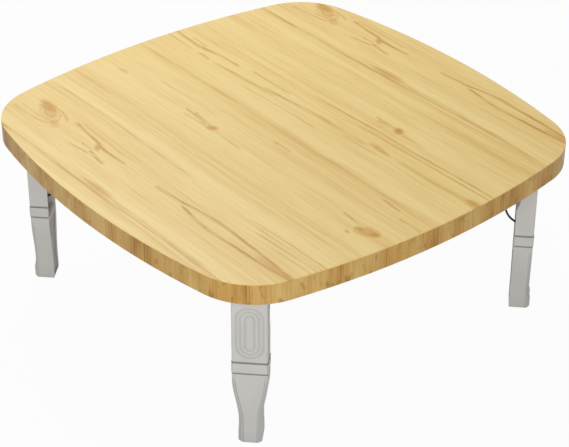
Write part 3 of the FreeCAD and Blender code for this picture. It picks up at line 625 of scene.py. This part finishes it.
def panel_shade(plastic, aside, outward):
    """Dark where the lower front steps down to its panel, and on the bevels beside it."""
    calf = plastic.spread(plastic.z, ANKLE, NECK, ANKLE_HALF, NECK_HALF, smooth=True)
    foot = plastic.spread(plastic.z, TOE, ANKLE, -TOE_NARROWER, 0.0, smooth=True)
    past_panel = plastic.math("SUBTRACT", aside, plastic.math("ADD", calf, foot))
    bevels = plastic.spread(past_panel, BEVEL_FROM, BEVEL_FULL, 0.0, BEVEL_SHADE, smooth=True)
    off_step = plastic.math("ABSOLUTE", plastic.math("ADD", past_panel, STEP_IN))
    step = plastic.spread(off_step, STEP_HALF, 0.0, 0.0, STEP_SHADE, smooth=True)
    below_neck = plastic.spread(plastic.z, NECK, NECK - PANEL_FADE)
    at_front = plastic.spread(outward, leg_front - PANEL_BACK, leg_front - PANEL_FRONT)
    on_panel = plastic.math("MULTIPLY", below_neck, at_front)
    return plastic.math("MULTIPLY", plastic.largest(bevels, step), on_panel)


print(f"panel from the neck at {NECK:.3f} m down to the toe at {TOE:.3f} m")

# %% [markdown]
# Now the plastic itself: a grey that drifts between two tones, with painted shade that darkens it a
# little toward the floor, and the painted shade of the grooves, rings and frame laid over it. The walls
# of the hollow in the back get no painted shade, so it is kept to the outer skin. The back covers are the
# same plastic in a darker grey, which paints in the shade at the back of a leg, and that is why all this
# is a function that takes its two greys.

# %% Leg plastic
SKIN_BACK, SKIN_FRONT = 4.6 * MM, 4.0 * MM
SKIN_INSIDE, SKIN_SIDE = 19.2 * MM, 19.8 * MM
# Painted shade toward the floor: the height where it starts, the height where it is full, and its
# strength.
LOW_SHADE_TOP, LOW_SHADE_BOTTOM, LOW_SHADE_STRENGTH = 110 * MM, 15 * MM, 0.21
# The greys of the painted shade toward the floor and of the painted shade in grooves, rings and frame.
LOW_SHADE_GREY, PAINTED_SHADE_GREY = paint(120, 119, 114), paint(96, 94, 91)
SATIN_ROUGH, PEBBLE_RELIEF = (0.38, 0.48), 0.03 * MM


def outer_skin(plastic, aside, outward):
    """1 on the outside of a leg, so that nothing is shaded on the walls of its hollow."""
    front = plastic.spread(outward, leg_front - SKIN_BACK, leg_front - SKIN_FRONT)
    side = plastic.spread(aside, SKIN_INSIDE, SKIN_SIDE)
    return plastic.largest(front, side, plastic.math("LESS_THAN", plastic.z, NECK))


def moulded(name, light, dark):
    """Satin plastic with a pebbled skin, painted shade toward the floor, and painted shade in its
    grooves, rings and frame.
    """
    plastic = Finish(name)
    drift = plastic.noise(plastic.place, (18.0, 18.0, 9.0), detail=2.0)
    pebble = plastic.noise(plastic.place, (2600.0, 2600.0, 2600.0), detail=2.0)
    aside, outward = leg_measures(plastic)
    # Painted shade: darker in the grooves, the rings and along the panel frame, on the outer skin only.
    shades = groove_shade(plastic), ring_shade(plastic, aside), panel_shade(plastic, aside, outward)
    dust_and_painted_shade = plastic.math("MULTIPLY", plastic.largest(*shades), outer_skin(plastic, aside, outward))
    # Painted shade: the grey darkens toward the floor.
    painted_low_shade = plastic.spread(plastic.z, LOW_SHADE_TOP, LOW_SHADE_BOTTOM, 0.0, LOW_SHADE_STRENGTH)
    grey = plastic.ramp(drift, (0.3, light), (0.7, dark))
    grey = plastic.mix(painted_low_shade, grey, LOW_SHADE_GREY)
    grey = plastic.mix(dust_and_painted_shade, grey, PAINTED_SHADE_GREY)
    sheen = plastic.weigh((pebble, 0.6), (drift, 0.4))
    plastic.set(Base_Color=grey, Roughness=plastic.spread(sheen, 0.3, 0.7, *SATIN_ROUGH))
    plastic.bump(pebble, PEBBLE_RELIEF, 0.5)


moulded("leg_plastic", paint(206, 204, 200), paint(198, 196, 191))
# The back covers: a darker grey that paints in the shade at the back of each leg.
moulded("cover_plastic_painted_shade", paint(150, 149, 146), paint(142, 141, 138))
print("leg and cover plastic finished")

# %% [markdown]
# ## Rubber and nylon
# A rubber pad in each sole keeps the table from sliding. It has a shallow tread of small squares,
# which two sine waves give: one along x, one along y, added up and cut off to flat tops. The
# tread is less than half a millimetre deep, like the texture of the rubber itself, so both are
# relief in the finish.

# %% Foot rubber
RUBBER_DARK, RUBBER_PALE = paint(58, 57, 55), paint(74, 73, 70)
RUBBER_ROUGH, TREAD_RELIEF = (0.7, 0.9), 0.4 * MM
TREAD_PITCH = 3.6 * MM
TREAD_FLANK = 0.4
GRIT_SHARE = 0.2

rubber = Finish("foot_rubber")
grit = rubber.noise(rubber.place, (1500.0, 1500.0, 1500.0), detail=3.0)
black = rubber.ramp(grit, (0.3, RUBBER_DARK), (0.7, RUBBER_PALE))
rubber.set(Base_Color=black, Roughness=rubber.spread(grit, 0.2, 0.8, *RUBBER_ROUGH))
tread_turns = 2 * math.pi / TREAD_PITCH
tread_x = rubber.math("SINE", rubber.math("MULTIPLY", rubber.x, tread_turns))
tread_y = rubber.math("SINE", rubber.math("MULTIPLY", rubber.y, tread_turns))
squares = rubber.spread(rubber.math("ADD", tread_x, tread_y), -TREAD_FLANK, TREAD_FLANK)
rubber.bump(rubber.math("MULTIPLY_ADD", grit, GRIT_SHARE, squares), TREAD_RELIEF, 0.8)
print(f"rubber with a tread every {TREAD_PITCH / MM:.1f} mm")

# %% [markdown]
# The washers in the hinge are nylon, which lets a little light through. Real translucency would
# cost render time on rings that are a few millimetres wide, so a warm white with a haze in it
# stands for it.

# %% Washer nylon
NYLON_PALE, NYLON_DEEP = paint(236, 234, 226), paint(224, 221, 211)
NYLON_ROUGH, NYLON_RELIEF = (0.3, 0.42), 0.02 * MM

nylon = Finish("washer_plastic")
haze = nylon.noise(nylon.place, (500.0, 500.0, 500.0), detail=2.0)
milky = nylon.ramp(haze, (0.3, NYLON_PALE), (0.7, NYLON_DEEP))
nylon.set(Base_Color=milky, Roughness=nylon.spread(haze, 0.2, 0.8, *NYLON_ROUGH))
nylon.bump(haze, NYLON_RELIEF, 0.5)
print("nylon finished")

# %% [markdown]
# ## Metal parts
# Brackets, pins and rivets are zinc-plated, the screws are yellow-passivated, and the spring is
# dark oiled wire. Seen close, plating has a faint crystal pattern and drawn steel has fine lines.
# Both are mixed into all three metals, and colour and gloss tell them apart, so that one loop
# can make them.

# %% Metals
# Each row: the lighter colour, the darker one, and the roughness from smooth to rough.
METALS = {
    "zinc_steel": ((184, 187, 190), (158, 161, 166), 0.28, 0.42),
    "screw_steel": ((204, 184, 128), (176, 154, 98), 0.26, 0.4),
    "spring_steel": ((86, 88, 92), (58, 60, 64), 0.32, 0.46),
}
METAL_RELIEF = 0.02 * MM
for name, (light, dark, smooth, rough) in METALS.items():
    metal = Finish(name)
    spangle = metal.cells(metal.place, (260.0, 260.0, 260.0))
    drawn = metal.noise(metal.place, (1800.0, 1800.0, 300.0), detail=2.0)
    blend = metal.weigh((drawn, 0.5), (spangle, 0.5))
    plating = metal.ramp(blend, (0.3, paint(*light)), (0.7, paint(*dark)))
    metal.set(Base_Color=plating, Metallic=1.0, Roughness=metal.spread(blend, 0.2, 0.7, smooth, rough))
    metal.bump(drawn, METAL_RELIEF, 0.4)
print(f"metals: {list(METALS)}")

# %% [markdown]
# ## Dressing the pieces
# Every CAD piece arrives with a plain material that is named after its finish, so a loop can swap each
# for the real one. The back covers are the one exception: they share the legs' plastic in the model, but
# get a darker grey of it, which paints in the shade at the back of each leg.

# %% Give each CAD piece its finish
for name, node in NODES.items():
    slot = node.material_slots[0]
    plain_name = slot.material.name.split(".")[0]
    # Back covers take the darker grey of painted shade.
    slot.material = FINISHES["cover_plastic_painted_shade" if name.startswith("back_cover") else plain_name].material
print(f"{len(NODES)} pieces dressed in {len(FINISHES)} finishes")

# %% [markdown]
# ## Softened legs
# Nothing that leaves a mould has a knife edge, and the lower front of each leg has a shallow
# panel inside a narrow frame. The CAD leg has sharp edges and no panel, so a copy of its mesh
# is given rounded edges and a panel. A CAD mesh arrives as loose triangles. The copy is therefore
# merged into one skin first, and triangles that lie in one plane are joined, so that the next
# steps see whole faces and whole edges.

# %% A copy of a CAD piece as one skin
SAME_POINT = 0.002 * MM
FLAT_ANGLE = math.radians(0.3)


def merged_copy(node_name, piece_name):
    """A copy of a CAD piece as one skin, its flat faces joined and none of them selected."""
    piece = bpy.data.objects.new(piece_name, NODES[node_name].data.copy())
    bpy.context.scene.collection.objects.link(piece)
    bpy.ops.object.select_all(action="DESELECT")
    piece.select_set(True)
    bpy.context.view_layer.objects.active = piece
    bpy.ops.mesh.customdata_custom_splitnormals_clear()
    bpy.ops.object.mode_set(mode="EDIT")
    bpy.ops.mesh.select_all(action="SELECT")
    bpy.ops.mesh.remove_doubles(threshold=SAME_POINT)
    bpy.ops.mesh.dissolve_limited(angle_limit=FLAT_ANGLE)
    bpy.ops.mesh.select_mode(type="FACE")
    bpy.ops.mesh.select_all(action="DESELECT")
    bpy.ops.object.mode_set(mode="OBJECT")
    return piece


print(f"points merge within {SAME_POINT / MM:.3f} mm")

# %% [markdown]
# The front faces below the neck are picked by their place and direction. One inset leaves the
# frame, and a second one with a depth sinks the panel. A boolean cut would give the same shape,
# but it leaves thin slivers that bevel badly, while an inset follows the outline that is there.

# %% The sunk panel
FRONT_FACING, FRONT_DEEP, PANEL_MIDDLE = 0.9, 6 * MM, 5 * MM
FRAME_WIDE, SLOPE_WIDE, PANEL_DEEP = 1.0 * MM, 0.5 * MM, 0.9 * MM


def sink_panel(leg, toward):
    """Leaves a frame round the lower front of a leg and sinks the panel inside it."""
    sideways = Vector((-toward.y, toward.x, 0))
    for face in leg.data.polygons:
        place = face.center
        faces_out = face.normal.dot(toward) > FRONT_FACING and place.dot(toward) > leg_front - FRONT_DEEP
        face.select = faces_out and place.z < NECK and abs(place.dot(sideways)) < PANEL_MIDDLE
    bpy.ops.object.mode_set(mode="EDIT")
    bpy.ops.mesh.inset(thickness=FRAME_WIDE)
    bpy.ops.mesh.inset(thickness=SLOPE_WIDE, depth=-PANEL_DEEP)
    bpy.ops.object.mode_set(mode="OBJECT")


print(f"panel sunk by {PANEL_DEEP / MM:.1f} mm inside a frame of {FRAME_WIDE / MM:.1f} mm")

# %% [markdown]
# Rounding the edges of the grooves and rings by hand would take an afternoon. A bevel modifier
# picks every edge that is sharper than a set angle. Where bevels meet it leaves some faces with
# no area, which are dissolved afterwards. Smooth shading then hides the steps of the rounding,
# and leaves corners sharp that are still steep.

# %% Rounded edges
ROUND_OFF, ROUND_STEPS = 0.4 * MM, 2
SHARP_ANGLE, SMOOTH_ANGLE = math.radians(28), math.radians(32)
EMPTY_FACE = 0.01 * MM


def round_edges(piece):
    """Rounds every sharp edge a little, and removes the empty faces that this leaves."""
    bevel = piece.modifiers.new("round_off", "BEVEL")
    bevel.width = ROUND_OFF
    bevel.segments = ROUND_STEPS
    bevel.limit_method = "ANGLE"
    bevel.angle_limit = SHARP_ANGLE
    bpy.ops.object.modifier_apply(modifier="round_off")
    bpy.ops.object.mode_set(mode="EDIT")
    bpy.ops.mesh.select_all(action="SELECT")
    bpy.ops.mesh.dissolve_degenerate(threshold=EMPTY_FACE)
    bpy.ops.object.mode_set(mode="OBJECT")
    bpy.ops.object.shade_smooth_by_angle(angle=SMOOTH_ANGLE)


print(f"edges rounded by {ROUND_OFF / MM:.1f} mm in {ROUND_STEPS} steps")

# %% [markdown]
# All four legs go through the same three steps, each from its own CAD leg, which already stands
# at its corner. The softened leg rides on that leg's body, so that it folds with the rivets and
# the foot pad, and takes the place of the CAD piece.

# %% Four softened legs
for corner in CORNERS:
    toward = Vector((1 if "right" in corner else -1, -1 if "front" in corner else 1, 0)).normalized()
    leg = merged_copy(f"leg_shell_{corner}", f"moulded_leg_{corner}")
    sink_panel(leg, toward)
    round_edges(leg)
    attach(leg, f"leg_{corner}")
    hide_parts(f"leg_shell_{corner}")
    print(leg.name, len(leg.data.polygons), "faces")

# %% [markdown]
# ## Floor
# The table stands on a white floor. A brightly lit white floor would throw too much light back
# up at the legs. So the floor is a quiet grey for the light that bounces on it, while the
# camera, mirrored views and views through glass see a glowing white, with just enough of the
# lit grey mixed in to keep a soft shadow.

# %% Floor
WHITE, FLOOR_GREY = (1.0, 1.0, 1.0, 1.0), (0.62, 0.62, 0.62, 1.0)
FLOOR_SIZE = 40.0
SHADOW_SHARE = 0.04


def seen_white(wiring):
    """1 where the camera looks, straight, mirrored or through glass, and 0 for bounced light."""
    path = wiring.add("ShaderNodeLightPath").outputs
    return wiring.largest(path["Is Camera Ray"], path["Is Glossy Ray"], path["Is Transmission Ray"])


bpy.ops.object.select_all(action="DESELECT")
bpy.ops.mesh.primitive_plane_add(size=FLOOR_SIZE, location=(0, 0, 0))
floor = bpy.context.object
floor.name = "floor"
white = bpy.data.materials.new("white_floor")
white.use_nodes = True
ground = Wiring(white.node_tree)
ground.nodes.clear()
lit = ground.add("ShaderNodeBsdfDiffuse", FLOOR_GREY).outputs[0]
glow = ground.add("ShaderNodeEmission", WHITE, 1.0).outputs[0]
glow_share = ground.math("MULTIPLY", seen_white(ground), 1 - SHADOW_SHARE)
floor_look = ground.add("ShaderNodeMixShader", glow_share, lit, glow).outputs[0]
ground.add("ShaderNodeOutputMaterial", floor_look)
floor.data.materials.append(white)
print(f"floor {FLOOR_SIZE:.0f} m wide, {SHADOW_SHARE:.0%} of its light and shadow shown")

# %% [markdown]
# ## Sky and lamps
# A pale sky all round fills the shadows. A picture of a studio could stand there instead, but it
# would light the table differently from every side. This sky is dim as a light and is seen as
# plain white, in the same way as the floor.

# %% Sky
SKY_LIGHT = 0.3
world = bpy.data.worlds.new("studio")
bpy.context.scene.world = world
world.use_nodes = True
studio = Wiring(world.node_tree)
studio.nodes.clear()
sky = studio.add("ShaderNodeBackground", WHITE, SKY_LIGHT).outputs[0]
backdrop = studio.add("ShaderNodeBackground", WHITE, 1.0).outputs[0]
sky_look = studio.add("ShaderNodeMixShader", seen_white(studio), sky, backdrop).outputs[0]
studio.add("ShaderNodeOutputWorld", sky_look)
print(f"sky at {SKY_LIGHT} of full white")

# %% [markdown]
# Two broad lamps give the table its form: one high up off its left side, and one lower down in
# front of the near corner, which lights the rim and the legs. Broad disks cast soft shadows, as
# the diffusers in a studio do. The front lamp is kept out of mirrored views, because from behind
# its image would wash out the glossy top.

# %% Lamps
# Each row: place and width in metres, power in watts, and whether it shows in mirrored views.
LAMPS = {
    "overhead_box": ((-1.1, 0.2, 1.8), 1.4, 22.5, True),
    "front_box": ((2.6, -2.25, 1.35), 2.7, 76, False),
}
AIM = Vector((0, 0, 0.2))
for name, (place, wide, power, mirrored) in LAMPS.items():
    bpy.ops.object.light_add(type="AREA", location=place)
    lamp = bpy.context.object
    lamp.name = name
    lamp.data.shape = "DISK"
    lamp.data.size = wide
    lamp.data.energy = power
    lamp.visible_glossy = mirrored
    lamp.rotation_euler = (AIM - lamp.location).to_track_quat("-Z", "Y").to_euler()
print(f"lamps: {list(LAMPS)}")

# %% [markdown]
# ## Camera
# The camera stands in front of the near corner, looks down at the table and has a long lens, as
# for a catalogue. Its place is given the way a photographer would give it: how far round the
# table, how far up from the floor, how far away, and how far the frame is slid sideways and
# down. Three directions worked out from that make up its turn.

# %% Camera
IMAGE_WIDE = 569
FOCAL_PIXELS = 1879.4
SENSOR = 36.0
ROUND, UP, ROLL = math.radians(51.005), math.radians(32.556), math.radians(0.222)
AWAY, SLIDE_RIGHT, SLIDE_UP = 2.3938, 0.0049, -0.1248

back = Vector((math.sin(ROUND) * math.cos(UP), -math.cos(ROUND) * math.cos(UP), math.sin(UP)))
right = Vector((math.cos(ROUND), math.sin(ROUND), 0.0))
upward = back.cross(right)
rolled_right = right * math.cos(ROLL) + upward * math.sin(ROLL)
rolled_up = upward * math.cos(ROLL) - right * math.sin(ROLL)
table_top = Vector((0, 0, cad_high.z))

camera_data = bpy.data.cameras.new("camera")
camera_data.sensor_width = SENSOR
camera_data.lens = FOCAL_PIXELS * SENSOR / IMAGE_WIDE
camera = bpy.data.objects.new("camera", camera_data)
bpy.context.scene.collection.objects.link(camera)
camera.rotation_euler = Matrix((rolled_right, rolled_up, back)).transposed().to_euler()
camera.location = table_top + back * AWAY + rolled_right * SLIDE_RIGHT + rolled_up * SLIDE_UP
bpy.context.scene.camera = camera
bpy.context.scene.view_settings.view_transform = "Standard"
print(f"camera {[round(side, 3) for side in camera.location]}, lens {camera_data.lens:.1f} mm")
